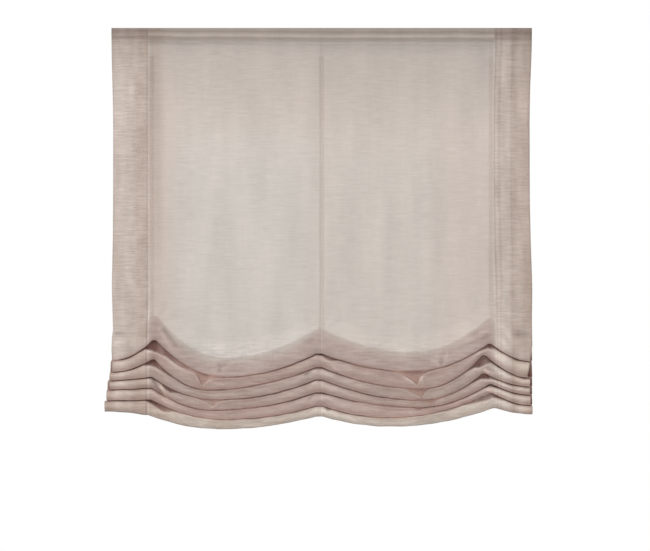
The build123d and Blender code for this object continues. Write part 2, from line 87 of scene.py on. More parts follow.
# Folds
FOLD_RADIUS = 0.0042
GATHER_RADIUS = 0.0016
GATHER_BEHIND_CLOTH = 0.0035
FOLD_GAP = 0.002
CREST_RADIUS = 0.0022
CREST_BEHIND_FRONT = 0.001
INSIDE_ABOVE_EDGE = 0.002
BELLY = 0.0022
BULGE_AT_TAPE = 0.020
BULGE_IN_SWAG = 0.031
OVERLAP_AT_TAPE = 0.058
OVERLAP_IN_SWAG = 0.043
HOLD_AT_TAPE = 0.004
SWELL_HEIGHT = 0.045

# Tapes, their loops and the cords
TAPE_TOP = 0.049
TAPE_ABOVE_EDGE = 0.012
TAPE_BEHIND_CLOTH = 0.0021
TAPE_MARGIN = 0.002
TAPE_THICKNESS = 0.0005
TAPE_COLUMNS = 5
LOOP_SPACING = 0.150
LOOP_HALF_WIDTH = 0.0022
LOOP_HALF_HEIGHT = 0.0008
LOOP_BEHIND_CORD = 0.0005
LOOP_STEPS = 8
LOOP_LENGTH = 0.012
LOOP_REACH = 0.012
CORD_SIDES = 10
CORD_STRANDS = 3
CORD_RING = 0.0016
CORD_PITCH = 1.05
CORD_RELIEF = 0.1

# Rows down the cloth, and columns across it. A fold has rows on its way down inside, at the gap, over its
# crest, down its front, round its edge, back up, and over its gather.
HEADING_ROWS = 36
FLAT_ROWS = 28
SWELL_ROWS = 32
INSIDE_ROWS = 4
GAP_ROWS = 3
CREST_ROWS = 6
EDGE_ROWS = 6
BACK_ROWS = 5
GATHER_ROWS = 4
HEM_COLUMNS = 19
MIDDLE_COLUMNS = 231

# What each row tells the colours: how far it is out of sight, how much painted shade it has far down in a
# fold or just above a fold's edge, and how strong the painted highlight on the rims of crests, the painted
# glow through a closed gap and the painted shadow are. The reaches are in rows.
MARKS = ("hidden", "deep", "rim", "light", "shadow")
GAP_HIDDEN = 0.9
EDGE_SHADE = 0.16
SWELL_REACH = 3
FOLD_REACH = 2
TURN_REACH = 4

# Unevenness along edges, bulges, crests, gaps, fold ends and the heading: first seed, size and depth
EDGE_WOBBLE = (1, 0.03, 0.0012)
BULGE_WOBBLE = (20, 0.11, 0.003)
CREST_WOBBLE = (40, 0.022, 0.0013)
GAP_WOBBLE = (60, 0.02, 0.7)
FAINT_WOBBLE = (60, 0.016, 1.0)
HEADING_WOBBLE = (80, 0.05, 0.0008)

# Lower edges of the five folds and of the hem, in pixels of the photograph: height at the left side, then
# the left tape's peak (across, down), the left swag's low (across, down), the height at the middle tape, the
# right swag's low, the right tape's peak, and the height at the right side
EDGES = (
    (360.0, (155, 340.0), (226, 376.0), 353.5, (412, 370.3), (489, 343.5), 361.0),
    (371.5, (154, 359.0), (208, 388.5), 367.0, (420, 387.5), (483, 355.0), 377.0),
    (380.0, (151, 376.5), (217, 398.5), 379.3, (421, 399.0), (483, 373.0), 386.0),
    (389.0, (151, 387.5), (216, 409.0), 391.8, (418, 406.0), (490, 383.5), 394.5),
    (400.0, (150, 399.0), (226, 418.0), 405.3, (388, 416.0), (490, 392.5), 404.5),
    (411.0, (147, 414.5), (222, 428.0), 416.0, (392, 425.5), (494, 407.5), 413.8),
)
HEM = len(EDGES) - 1
MIDDLE_TAPE = 319.0
SWAG_KNOTS = (155, 218, MIDDLE_TAPE, 416, 489)
STACK_TOP = 335

# Dark pockets between the folds: across, and how far below the edge above it the next fold comes forward
LEAST_RECESS = 0.9
RECESSES = (
    (
        (140, 0), (146, 1), (149, 4.5), (155, 11), (158, 10), (162, 7.5), (166, 5.2), (171, 4.4),
        (182, 3.8), (188, 2.2), (194, 1.2), (197, 2.8), (199, 5.5), (202.5, 11.5), (206, 7), (210, 3.2),
        (214, 1), (226, 0), (316, 0), (324, 1.6), (330, 2.6), (338, 0.6), (388, 0), (393, 0.6), (398, 1.6),
        (402, 2.9), (406, 4.9), (410, 7.4), (413.5, 10.4), (416.5, 13.4), (418.2, 9), (419.7, 5.2),
        (423, 2.4), (427, 1), (432, 0), (478, 0), (484, 2), (490, 3.8), (495, 0.6), (505, 0),
    ),
    (
        (144, 0), (149, 3), (155, 6), (160, 4), (166, 1.5), (175, 0.3), (398, 0), (404, 1), (411, 3.2),
        (417, 6), (421.7, 8.8), (423.5, 4), (427, 1), (431, 0), (462, 0), (468, 1), (474, 4), (479, 9),
        (482, 9.5), (486, 6), (490, 1.6), (495, 0.6), (505, 0),
    ),
    (
        (163, 0), (166, 2.2), (171, 3.6), (176, 1.6), (180, 0), (200, 0), (208, 2), (213.7, 6), (217, 2.4),
        (225, 0), (420, 0), (426, 1.6), (431.5, 5.5), (434, 2), (438, 0), (470, 0), (478, 2.2), (483, 4.4),
        (487, 3), (490, 1), (498, 0),
    ),
    ((413, 0), (418, 2.5), (422, 0), (484, 0), (492, 1.5), (498, 0)),
    (
        (147, 0), (151, 3), (157, 4), (165, 4.6), (170, 3.2), (173, 1), (178, 0), (324, 0), (328, 2),
        (332, 0), (460, 0), (470, 1.5), (480, 3.8), (488, 5), (492, 3), (497, 1), (504, 0),
    ),
)

# How far the ends of the folds stand beside the cloth's own side, in pixels: at the left for each fold and
# the hem, and at the right by pixels down; and beyond which x and below which rows
LEFT_ENDS = (1.4, 1.8, -1.1, -0.9, -4.0, -6.0)
RIGHT_ENDS = (
    (335, 0.0), (345, 0.0), (361, -2.6), (376, -5.2), (377.5, -2.5), (394, -2.5), (395, -2.0), (404, -2.0),
    (405.5, 0.0), (420, 0.0),
)
ENDS_FROM = 0.42
ENDS_ROWS = (STACK_TOP, 360)

# How far the sides lean to the right: down, left side, right side, in pixels; and between which columns
SIDE_LEAN = (
    (28, 0.0, 0.4), (50, 0.1, 0.2), (90, 1.1, -1.4), (120, 1.7, -1.9), (200, 1.6, -1.7), (240, 1.3, -0.8),
    (285, 0.3, 0.8), (305, 0.8, 0.6), (330, 1.6, 0.3), (350, 0.2, 0.0),
)
LEAN_LEFT = (147, 120)
LEAN_RIGHT = (491, 498)

# Ripples in the flat cloth and crumples in the folds, as noise over x and drop
FREE_DROPS = (0.7 * HEADING, 2.5 * HEADING)
RIPPLE_SCALE = (8.0, 1.4)
CRUMPLE_SCALE = (26.0, 40.0)
FINE_CRUMPLE_SCALE = (70.0, 120.0)
FINE_CRUMPLE = 0.3
CRUMPLE_ROWS = (300, 350)

# Tension folds round the points where the cloth is held, across and down in pixels
TENSION_POINTS = ((155, 322), (489, 326), (321, 332))
TENSION_HEIGHT = 0.0017
TENSION_RAYS = 9
TENSION_REACH = 34
TENSION_CLEAR = (2, 14)

# Ridges over the rail: down in pixels, height in metres, and half width in pixels
HEADING_RIDGES = ((33.8, 0.0014, 2.4), (41.0, 0.0007, 1.3))
RIDGE_UNEVEN = 0.6

# Creases, in pixels of the photograph: from, to, half width, and depth in metres, which tapers to the end
CREASE_TAPER = 0.7
CREASES = (
    (221, 371, 204, 360, 2.2, 0.0026), (221, 371, 237, 360, 2.2, 0.0026),
    (440, 364.5, 430, 356, 2.0, 0.0024), (440, 364.5, 450, 356, 2.0, 0.0024),
    (217, 394, 211, 389, 1.6, 0.0018), (217, 394, 224, 389, 1.6, 0.0018), (162, 394, 164, 385, 1.5, 0.0026),
    (113, 330, 132, 327, 3.2, 0.0024), (119, 336, 130, 341, 2.6, 0.0018), (511, 327, 529, 329, 3.2, 0.0024),
    (513, 336, 529, 339, 2.6, 0.0018), (163, 331, 153, 317, 2.0, 0.0026), (163, 331, 177, 343, 2.0, 0.0026),
    (177, 343, 202, 352, 2.2, 0.001), (476, 334, 488, 321, 2.2, 0.0018), (476, 334, 456, 345, 2.6, 0.0014),
    (118, 168, 128, 180, 1.8, 0.0012), (117, 190, 129, 199, 1.8, 0.0014), (116, 205, 130, 218, 1.8, 0.0014),
    (116, 236, 129, 246, 1.8, 0.0012), (114, 262, 126, 268, 1.8, 0.001),
)

# Painted highlights and painted shade along crumples of the folds, in pixels of the photograph: from, to,
# half width, and how much lighter or darker, which tapers to the end
STROKE_TAPER = 0.4
PAINTED_CRUMPLE_STROKES = (
    (222.3, 369.3, 233, 362.3, 1.3, 0.22), (227, 360, 222, 366, 1.5, -0.1),
    (219.5, 364, 221, 371.5, 1.6, -0.22), (438.5, 364.6, 428.5, 357.3, 1.3, 0.22),
    (442.8, 363.7, 446.8, 352, 1.5, 0.2), (440.4, 358, 440.6, 365, 1.9, -0.24),
    (419.6, 376, 421.6, 382.5, 1.3, 0.29), (484, 369.3, 491.5, 373.4, 1.4, 0.75),
    (484, 374.5, 487, 371, 0.9, 0.35), (487.5, 389.8, 495, 391.8, 1.3, 0.75),
    (163, 341, 176, 349, 1.8, 0.12), (518, 333.5, 527.5, 333.5, 3.8, -0.34),
    (506, 332, 513, 342, 3.2, 0.22), (501.8, 340, 507, 349, 1.8, 0.16),
    (117.5, 333.5, 124, 333, 2.6, -0.34), (116, 343, 136, 338, 2.6, 0.12),
    (494, 356, 500, 359.5, 1.6, 0.24), (153.5, 378.5, 161, 391, 1.7, -0.48),
    (161.5, 385, 168, 397, 1.3, 0.41), (163.5, 398, 168, 402, 1.2, 0.19),
    (333.5, 366.6, 345.5, 375, 1.5, 0.24), (305.5, 374, 311.5, 370.2, 1.0, -0.48),
    (312, 369.5, 315, 371, 1.0, 0.29), (313, 382.4, 317, 380.6, 1.0, 0.34),
    (309, 398, 313.5, 394, 1.0, -0.34), (331.5, 408, 337, 410.6, 1.2, 0.31),
    (326, 399, 333, 402.5, 1.0, -0.24), (160, 329, 171, 346, 1.6, 0.22),
    (164.5, 329, 176, 343.5, 2.0, -0.31), (177, 345, 215, 352, 1.6, -0.12),
    (488, 335.5, 458, 348, 1.8, -0.17), (488, 329, 466, 341, 1.6, 0.14), (225, 384, 206, 378, 1.2, 0.12),
)

# What the yarn's colour is multiplied by as painted shade far down between the folds, and as painted shade of
# the stacked layers in the bands of the folds, lighter in the hem's band; and where the bands fade, from the
# top of the first overlap and at the sides
SHADE_AT_TAPE = (0.36, 0.19, 0.165)
SHADE_IN_SWAG = (1.0, 0.87, 0.845)
BAND_SHADES = (
    (0.87, 0.81, 0.83), (0.87, 0.765, 0.76), (0.87, 0.8, 0.79), (0.89, 0.8, 0.79), (0.93, 0.82, 0.82),
    (1.09, 1.07, 1.04),
)
BAND_TOP = (-0.010, 0.022)
BAND_ENDS = (0.418, 0.396)
BAND_TIGHT_LEFT = 2.5

# Light that comes through: under the folds, and at the closed gap below each fold, with its least, usual and
# most along the gap; and where the dark line of the first gap fades, at the left side and along the gaps
GLOW = (0.085, 0.044, 0.038)
FACING_DOWN = (0.15, 0.8)
CREVICE_GLOW = (0.21, 0.15, 0.128)
GAP_LIGHT = (1.1, 0.85, 0.6, 0.6, 1.2)
GAP_LIGHT_RANGE = (0.1, 0.75, 1.2)
FAINT_END_LIGHT = 0.9
FAINT_END = (122, 115)
FAINT_SHADE = 0.5
FAINT_SHADE_END = (121, 114)
FAINT_MOST = 0.4

# How much lighter the painted highlight on the rims of crests is, by the pixels that its pocket is open; and
# how much the painted shadow darkens the front of a fold, row by row, in the swags and beside the side tapes,
# where its negative rows paint the top of the fold lighter
RIM_HIGHLIGHT = (0.34, 0.42, 0.44)
RIM_FROM = 1.5
RIM_FULL = 6.0
RIM_IN_HEM = 0.3
SHADOW = (0.22, 0.28, 0.29)
SHADOW_ROWS = (0.8, 0.8, 0.55, 0.25, 0.0, 0.0, 0.0, 0.1, 0.25)
SHADOW_IN_HEM = 0.4
SIDE_ROWS = (-0.9, -1.3, -1.3, -1.0, -0.6, -0.2, 0.2, 0.45, 0.6)
SIDE_ROWS_LEFT = 0.55
FRONT_ROWS = len(SHADOW_ROWS)

# Layers of the side hems, by pixels across: 1 is a third layer; and what one layer multiplies the colour by
HEM_SEAM = (0.409, 0.414)
HEM_LAYERS = (
    (100, 1.2), (113, 1.0), (115.5, 0.2), (124, 0.0), (131, 0.2), (135, 0.8), (139, 1.6), (146, 1.7),
    (148, 1.0), (149.5, 0.8), (158, 1.0), (168, 0.5), (180, 0.0), (495.5, 0.0), (497, 0.5), (499, 0.6),
    (501.5, 0.4), (504, 0.0), (509.5, 0.0), (512, 1.7), (515.5, 1.7), (518.5, 1.0), (521, 1.1), (524, 1.8),
    (527, 1.9), (529.5, 2.6), (540, 2.6),
)
LAYER = (0.93, 0.905, 0.89)

# The shadow beside the left hem's seam: how many layers it is worth, and its columns and rows
HEM_SHADOW = 1.3
HEM_SHADOW_FROM = 148.6
HEM_SHADOW_COLUMNS = (167, 156)
HEM_SHADOW_ROWS = (275, 235)

# Tints of the hems: at the bottom hem's left end between columns, painted shade in the heading over the rail
# between drops, in the flat cloth, and in the folds at the left and at the right
HEM_PINK = (0.02, 0.055, 0.065)
HEM_PINK_RISE = (147, 150)
HEM_PINK_FALL = (185, 160)
HEM_RAIL_SHADE = (0.84, 0.80, 0.80)
HEM_HEADING_DROPS = (0.036, 0.024)
HEM_FLAT = (0.10, 0.10, 0.11)
STACK_TINT_LEFT = (0.01, 0.085, 0.10)
STACK_TINT_RIGHT = (-0.07, -0.03, -0.02)

# Blotches of the colour: scales of their noise over x and drop with strengths, in the hems and in the folds
HEM_BLOTCHES = ((34, 9, 3.0, 0.17), (91.8, 24.3, 8.1, 0.085), (45, 38, 5.0, 0.119))
FOLD_BLOTCHES = ((16, 120, 9.0, 0.17), (41.6, 312, 23.4, 0.13))
BLOTCH_TINT = (0.8, 1.0, 1.1)

# Seam lines: across in pixels, half width in pixels, how much lighter or darker, and where they begin
SEAMS = (
    (147.2, 0.8, -0.15, 0.0), (149.1, 0.5, 0.28, 0.60), (145.2, 0.4, 0.07, 0.66), (320.3, 0.45, -0.09, 0.0),
    (323.4, 0.45, -0.05, 0.0), (318.8, 0.5, -0.05, 0.60), (322.0, 0.6, 0.06, 0.60), (495.8, 0.6, -0.16, 0.0),
    (495.4, 0.5, 0.22, 0.60), (498.3, 0.8, 0.06, 0.0), (500.9, 0.6, -0.09, 0.0), (501.5, 0.5, 0.14, 0.60),
    (503.6, 0.8, 0.05, 0.0), (512.6, 0.6, -0.07, 0.0),
)
SEAM_FADE = 0.08

# Where more light comes through the flat cloth: across in pixels, and how much; between which drops it
# comes up; and what it does to the colour
LIT = ((165, 0.0), (190, 1.0), (300, 1.0), (320, 0.4), (335, 0.5), (425, 0.5), (448, 0.0))
LIT_DROPS = (0.16, 0.34)
LIT_TINT = (0.01, 0.085, 0.11)

# Painted shade of the heading over the rail, which stops the light from behind, and painted shadow below the
# rail that fades down the flat cloth, by drop in metres, between the hems and in them
HEADING_SHADE = (
    (0.0, 0.62), (0.004, 0.66), (0.0083, 0.52), (0.0115, 0.6), (0.0155, 0.8), (0.018, 0.91), (0.0205, 0.83),
    (0.0228, 0.62), (0.026, 0.595), (0.03, 0.63), (0.034, 0.72), (0.038, 0.58), (0.041, 0.61),
    (0.0445, 0.69), (0.048, 0.755), (0.08, 0.8), (0.14, 0.865), (0.2, 0.94), (0.27, 1.0),
)
HEM_HEADING_SHADE = (
    (0.0, 0.6), (0.0045, 0.66), (0.0083, 0.52), (0.012, 0.585), (0.0155, 0.675), (0.02, 0.79),
    (0.0228, 0.67), (0.0255, 0.65), (0.03, 0.745), (0.034, 0.78), (0.038, 0.735), (0.043, 0.77),
    (0.048, 0.83), (0.08, 0.86), (0.14, 0.93), (0.2, 1.0),
)
HEADING_TINT = (1.0, 0.98, 1.0)
HEADING_SHIFT = ((150, -0.9), (185, -0.3), (250, 0.0), (330, 0.5), (490, 0.7))

# Strength of the slubs in the weave: in the flat cloth, the hems, the folds and the heading
SLUB_FLAT = 0.56
SLUB_HEM = 2.4
SLUB_FOLD = 2.3
SLUB_HEADING = 1.0
SLUB_ROWS = (STACK_TOP, 362)
WEAVE_CONTRAST = 0.16

# Studio: place from the middle of the picture, size and power of each light, and the camera
KEY_LIGHT = ((-1.6, -2.6, 2.2), 1.6, 62)
FILL_LIGHT = ((2.2, -2.8, 0.4), 2.0, 14)
AMBIENT = 0.7
LENS = 85.0
SENSOR = 36.0


def across(pixel):
    """X of a pixel column of the photograph."""
    return (pixel - PHOTO_CLOTH_CENTRE) * PIXEL


def below_top(pixel):
    """Drop below the cloth's top of a pixel row of the photograph."""
    return (pixel - PHOTO_CLOTH_TOP) * PIXEL


def column_of(x):
    """Pixel column of the photograph of an x."""
    return x / PIXEL + PHOTO_CLOTH_CENTRE


def row_of(drop):
    """Pixel row of the photograph of a drop below the cloth's top."""
    return drop / PIXEL + PHOTO_CLOTH_TOP


def colour(name, description, default):
    return FloatVectorProperty(
        name=name, description=description, subtype="COLOR", size=3, min=0, max=1, default=default
    )


def depth(name, description, default):
    return FloatProperty(
        name=name, description=description, subtype="DISTANCE", unit="LENGTH", min=0, max=0.01,
        default=default,
    )


class BlindSettings(bpy.types.PropertyGroup):
    cloth_colour: colour("Cloth", "Colour of the voile's yarn", (0.505, 0.426, 0.376))
    cloth_cover: FloatProperty(
        name="Cover", description="How much of the light one layer of voile stops", subtype="FACTOR",
        min=0, max=1, default=0.9,
    )
    ripple: depth("Ripple", "Depth of the slow ripples in the flat cloth", 0.0014)
    crumple: depth("Crumple", "Depth of the small creases in the folds", 0.0028)
    tape_colour: colour("Tape", "Colour of the tapes", (0.52, 0.43, 0.36))
    cord_colour: colour("Cord", "Colour of the lift cords", (0.70, 0.66, 0.60))


def settings():
    return bpy.context.scene.blind


def deselect():
    for obj in bpy.context.selected_objects:
        obj.select_set(False)


def smooth(edge0, edge1, x):
    t = np.clip((x - edge0) / (edge1 - edge0), 0, 1)
    return t * t * (3 - 2 * t)


def over_columns(pixels, x):
    """From 0 at the first pixel column to 1 at the second."""
    return smooth(across(pixels[0]), across(pixels[1]), x)


def over_rows(pixels, drop):
    """From 0 at the first pixel row to 1 at the second."""
    return smooth(below_top(pixels[0]), below_top(pixels[1]), drop)


def noise_at(u, v, seed):
    """Smooth noise over two arrays of places."""
    values = [noise.noise(Vector((a, b, seed))) for a, b in zip(u.ravel(), v.ravel())]
    return np.array(values).reshape(u.shape)


# Node groups


def new_group(name, inputs, outputs):
    """A shader node group with sockets by name and kind, and its input and output nodes."""
    group = bpy.data.node_groups.new(name, "ShaderNodeTree")
    for way, sockets in (("INPUT", inputs), ("OUTPUT", outputs)):
        for label, kind in sockets.items():
            group.interface.new_socket(label, in_out=way, socket_type="NodeSocket" + kind)
    return group, group.nodes.new("NodeGroupInput"), group.nodes.new("NodeGroupOutput")


def fill(tree, target, inputs):
    """Sets sockets of a node by name or number, or links them where the value is a socket."""
    for key, value in inputs.items():
        if isinstance(value, bpy.types.NodeSocket):
            tree.links.new(value, target.inputs[key])
        else:
            target.inputs[key].default_value = value


def node(tree, kind, inputs=None, **options):
    """Adds a shader node with its options and inputs."""
    made = tree.nodes.new("ShaderNode" + kind)
    for key, value in options.items():
        setattr(made, key, value)
    fill(tree, made, inputs or {})
    return made


def math_node(tree, operation, a, b=0.0, clamp=False):
    return node(tree, "Math", {0: a, 1: b}, operation=operation, use_clamp=clamp).outputs[0]


def voile_group():
    """Slubbed weave on UV coordinates in metres: streaks along the weft, threads and slow clouds."""
    group, inputs, outputs = new_group(
        "Voile Weave",
        {
            "UV": "Vector", "Light": "Color", "Dark": "Color", "Shade": "Color",
            "Cover": "Float", "Slub": "Float",
        },
        {"Color": "Color", "Alpha": "Float", "Height": "Float"},
    )
    uv = inputs.outputs["UV"]

    def calc(operation, a, b, clamp=False):
        return math_node(group, operation, a, b, clamp)

    def stretched(scale_u, scale_v, detail, distortion=0.0):
        mapped = node(group, "Mapping", {"Vector": uv, "Scale": (scale_u, scale_v, 1)})
        look = {"Vector": mapped.outputs[0], "Scale": 1.0, "Detail": detail, "Distortion": distortion}
        return node(group, "TexNoise", look).outputs["Fac"]

    weft = stretched(34, 620, 3.0, 0.1)
    slub = stretched(14, 260, 2.0, 0.2)
    warp = stretched(620, 30, 2.0)
    cloud = stretched(17, 3, 3.0)
    threads = calc("ADD", calc("MULTIPLY", weft, 0.5), calc("MULTIPLY", warp, 0.2))
    streaks = calc("ADD", threads, calc("MULTIPLY", slub, 0.3))
    contrast = node(group, "MapRange", {"Value": streaks, "From Min": 0.36, "From Max": 0.64}).outputs[0]
    weighted = calc("MULTIPLY", calc("SUBTRACT", contrast, 0.5), inputs.outputs["Slub"])
    uneven = calc("MULTIPLY", calc("SUBTRACT", cloud, 0.5), 1.1)
    factor = calc("ADD", calc("ADD", weighted, uneven), 0.5, clamp=True)
    shades = {0: factor, 6: inputs.outputs["Dark"], 7: inputs.outputs["Light"]}
    colour = node(group, "Mix", shades, data_type="RGBA").outputs[2]
    shades = {0: 1.0, 6: colour, 7: inputs.outputs["Shade"]}
    shaded = node(group, "Mix", shades, data_type="RGBA", blend_type="MULTIPLY").outputs[2]
    alpha = calc("ADD", inputs.outputs["Cover"], calc("MULTIPLY", weighted, -0.12), clamp=True)
    fill(group, outputs, {"Color": shaded, "Alpha": alpha, "Height": weighted})
    return group


def surface_group():
    """Fine grain and a little unevenness on object coordinates, for moulded, coated and plated surfaces."""
    group, inputs, outputs = new_group(
        "Surface Grain",
        {
            "Color": "Color", "Grain Size": "Float", "Roughness": "Float", "Spread": "Float",
            "Stretch": "Vector",
        },
        {"Color": "Color", "Roughness": "Float", "Height": "Float"},
    )
    spot = node(group, "TexCoord").outputs["Object"]
    scaled = node(group, "VectorMath", {0: spot, 1: inputs.outputs["Stretch"]}, operation="MULTIPLY")
    look = {"Vector": scaled.outputs[0], "Scale": inputs.outputs["Grain Size"], "Detail": 2.0}
    grain = node(group, "TexNoise", look).outputs["Fac"]
    blotch = node(group, "TexNoise", {"Vector": spot, "Scale": 38.0, "Detail": 3.0}).outputs["Fac"]
    shade = math_node(group, "ADD", math_node(group, "MULTIPLY", blotch, 0.14), 0.93)
    colour = node(group, "VectorMath", {0: inputs.outputs["Color"], 3: shade}, operation="SCALE").outputs[0]
    centred = math_node(group, "SUBTRACT", grain, 0.5)
    parts = {0: centred, 1: inputs.outputs["Spread"], 2: inputs.outputs["Roughness"]}
    rough = node(group, "Math", parts, operation="MULTIPLY_ADD").outputs[0]
    fill(group, outputs, {"Color": colour, "Roughness": rough, "Height": grain})
    return group


# Materials


def new_tree(name):
    """The empty node tree of a new material."""
    material = bpy.data.materials.new(name)
    material.use_nodes = True
    material.node_tree.nodes.clear()
    return material.node_tree


def group_node(tree, name, inputs):
    return node(tree, "Group", inputs, node_tree=bpy.data.node_groups[name]).outputs


def bump_normal(tree, strength, distance, height):
    return node(tree, "Bump", {"Strength": strength, "Distance": distance, "Height": height}).outputs[0]


def surface(tree, inputs):
    """Ends a material with its shader."""
    node(tree, "OutputMaterial", {0: node(tree, "BsdfPrincipled", inputs).outputs[0]})


def seam_group():
    """Fine lines along the cloth at the seams, on UV coordinates in metres: a factor for the colour."""
    group, inputs, outputs = new_group(
        "Seam Lines",
        {"UV": "Vector", "Shade": "Color"},
        {"Shade": "Color"},
    )
    uv = node(group, "SeparateXYZ", {0: inputs.outputs["UV"]})
    u, v = uv.outputs[0], uv.outputs[1]
    factor = 1.0
    for pixel, half_width, strength, begins in SEAMS:
        away = math_node(group, "ABSOLUTE", math_node(group, "SUBTRACT", u, across(pixel)))
        span = {"Value": away, "From Max": 2 * half_width * PIXEL, "To Min": strength, "To Max": 0.0}
        line = node(group, "MapRange", span, interpolation_type="SMOOTHSTEP").outputs[0]
        if begins:
            span = {"Value": v, "From Min": begins, "From Max": begins + SEAM_FADE}
            line = math_node(group, "MULTIPLY", line, node(group, "MapRange", span).outputs[0])
        factor = math_node(group, "ADD", factor, line)
    lined = node(group, "VectorMath", {0: inputs.outputs["Shade"], 3: factor}, operation="SCALE")
    fill(group, outputs, {"Shade": lined.outputs[0]})
    return group


def woven_material(name, colour, cover, slub, bump, sheen):
    tree = new_tree(name)
    uv = node(tree, "UVMap", uv_map="Cloth").outputs[0]
    shade, coarse, glow = (
        node(tree, "Attribute", attribute_name=label).outputs for label in ("Shade", "Slub", "Glow")
    )
    weave = group_node(tree, "Voile Weave", {
        "UV": uv,
        "Light": (*[min(1.0, c * (1 + WEAVE_CONTRAST)) for c in colour], 1),
        "Dark": (*[c * (1 - WEAVE_CONTRAST) for c in colour], 1),
        "Shade": group_node(tree, "Seam Lines", {"UV": uv, "Shade": shade["Color"]})["Shade"],
        "Cover": cover,
        "Slub": math_node(tree, "MULTIPLY", coarse["Fac"], slub),
    })
    surface(tree, {
        "Base Color": weave["Color"],
        "Alpha": weave["Alpha"],
        "Normal": bump_normal(tree, bump, 0.0006, weave["Height"]),
        "Emission Color": glow["Color"],
        "Emission Strength": 1.0,
        "Roughness": 0.62,
        "Specular IOR Level": 0.25,
        "Sheen Weight": sheen,
        "Sheen Roughness": 0.45,
        "Sheen Tint": (1.0, 0.93, 0.88, 1),
    })


def hard_material(name, colour, roughness, metallic, grain, spread, stretch=(1, 1, 1), bump=0.15):
    tree = new_tree(name)
    look = {"Color": (*colour, 1), "Grain Size": grain, "Roughness": roughness, "Spread": spread}
    grained = group_node(tree, "Surface Grain", {**look, "Stretch": stretch})
    surface(tree, {
        "Base Color": grained["Color"],
        "Metallic": metallic,
        "Roughness": grained["Roughness"],
        "Normal": bump_normal(tree, bump, 0.0002, grained["Height"]),
    })


def make_materials():
    look = settings()
    voile_group()
    seam_group()
    surface_group()
    woven_material("Voile", look.cloth_colour, look.cloth_cover, 0.85, 0.5, 0.3)
    woven_material("Tape Weave", look.tape_colour, 0.34, 0.5, 0.4, 0.2)
    hard_material("Hook and Loop", (0.66, 0.64, 0.61), 0.9, 0.0, 1400.0, 0.05, bump=0.9)
    hard_material("Cord Braid", look.cord_colour, 0.7, 0.0, 2600.0, 0.1, bump=0.4)
    hard_material("Rail Coat", (0.79, 0.79, 0.78), 0.36, 0.0, 1600.0, 0.08, bump=0.1)
    hard_material("White Moulding", (0.78, 0.78, 0.765), 0.42, 0.0, 1100.0, 0.12)
    hard_material("Zinc Plate", (0.62, 0.63, 0.64), 0.34, 1.0, 240.0, 0.2, stretch=(1, 6, 6), bump=0.2)
    hard_material("Spring Steel", (0.42, 0.42, 0.43), 0.3, 1.0, 900.0, 0.15)


def dress(obj, material_name):
    """Puts one material in every slot of a frame node, or the only slot of a new piece."""
    material = bpy.data.materials[material_name]
    if not obj.material_slots:
        obj.data.materials.append(material)
    for material_slot in obj.material_slots:
        material_slot.material = material


# Shape of the cloth


def edge_drop(edge, x):
    """Drop of a lower edge at each x: it falls from its held points in parabolas to the low of each swag."""
    left_side, left_peak, left_low, middle, right_low, right_peak, right_side = edge
    stations = (
        (-HALF_WIDTH, left_side, False),
        (across(left_peak[0]) - HOLD_AT_TAPE, left_peak[1], True),
        (across(left_peak[0]) + HOLD_AT_TAPE, left_peak[1], True),
        (across(left_low[0]), left_low[1], False),
        (across(MIDDLE_TAPE) - 2 * HOLD_AT_TAPE, middle, True),
        (across(MIDDLE_TAPE) + 2 * HOLD_AT_TAPE, middle, True),
        (across(right_low[0]), right_low[1], False),
        (across(right_peak[0]) - HOLD_AT_TAPE, right_peak[1], True),
        (across(right_peak[0]) + HOLD_AT_TAPE, right_peak[1], True),
        (HALF_WIDTH, right_side, False),
    )
    drop = np.zeros_like(x)
    for start, end in zip(stations, stations[1:]):
        held, free = (start, end) if start[2] else (end, start)
        inside = (x >= start[0] - ROUNDING) & (x <= end[0] + ROUNDING)
        share = np.clip((x[inside] - held[0]) / (free[0] - held[0]), 0, 1)
        drop[inside] = below_top(free[1] + (held[1] - free[1]) * (1 - share) ** 2)
    return drop


def swag(x):
    """0 at the tapes and beside the side tapes, 1 at the lowest point of each swag."""
    knots = [across(pixel) for pixel in SWAG_KNOTS]
    out = np.zeros_like(x)
    for i, (x0, x1) in enumerate(zip(knots, knots[1:])):
        inside = (x >= x0) & (x <= x1)
        reach = (x[inside] - x0) / (x1 - x0)
        out[inside] = np.sin((1 - reach if i % 2 else reach) * math.pi / 2)
    return out


def wobble(x, kind, k=0):
    """Smooth noise along x, for edge or fold k, so that it doesn't run quite true."""
    seed, size, depth = kind
    return noise_at(x / size, np.full_like(x, (seed + k) * 7.3), 1.7) * depth


def run(start, end, steps, swell=0.0):
    """Rows from one row to the next, straight or with an outward swell between them."""
    shares = [(i + 1) / steps for i in range(steps)]
    return [
        (
            start[0] + (end[0] - start[0]) * t - swell * math.sin(math.pi * t),
            start[1] + (end[1] - start[1]) * t,
        )
        for t in shares
    ]


def turn(centre_y, centre_drop, radius, steps, way):
    """Rows round half a circle, from its room side to its wall side: under it (way 1) or over it (way -1)."""
    angles = [math.pi * i / steps for i in range(1, steps + 1)]
    return [(centre_y - radius * math.cos(a), centre_drop + way * radius * math.sin(a)) for a in angles]


def fade(rows_away, reach):
    """1 at a row itself, falling to 0 at reach rows away."""
    return max(0.0, 1 - rows_away / reach)


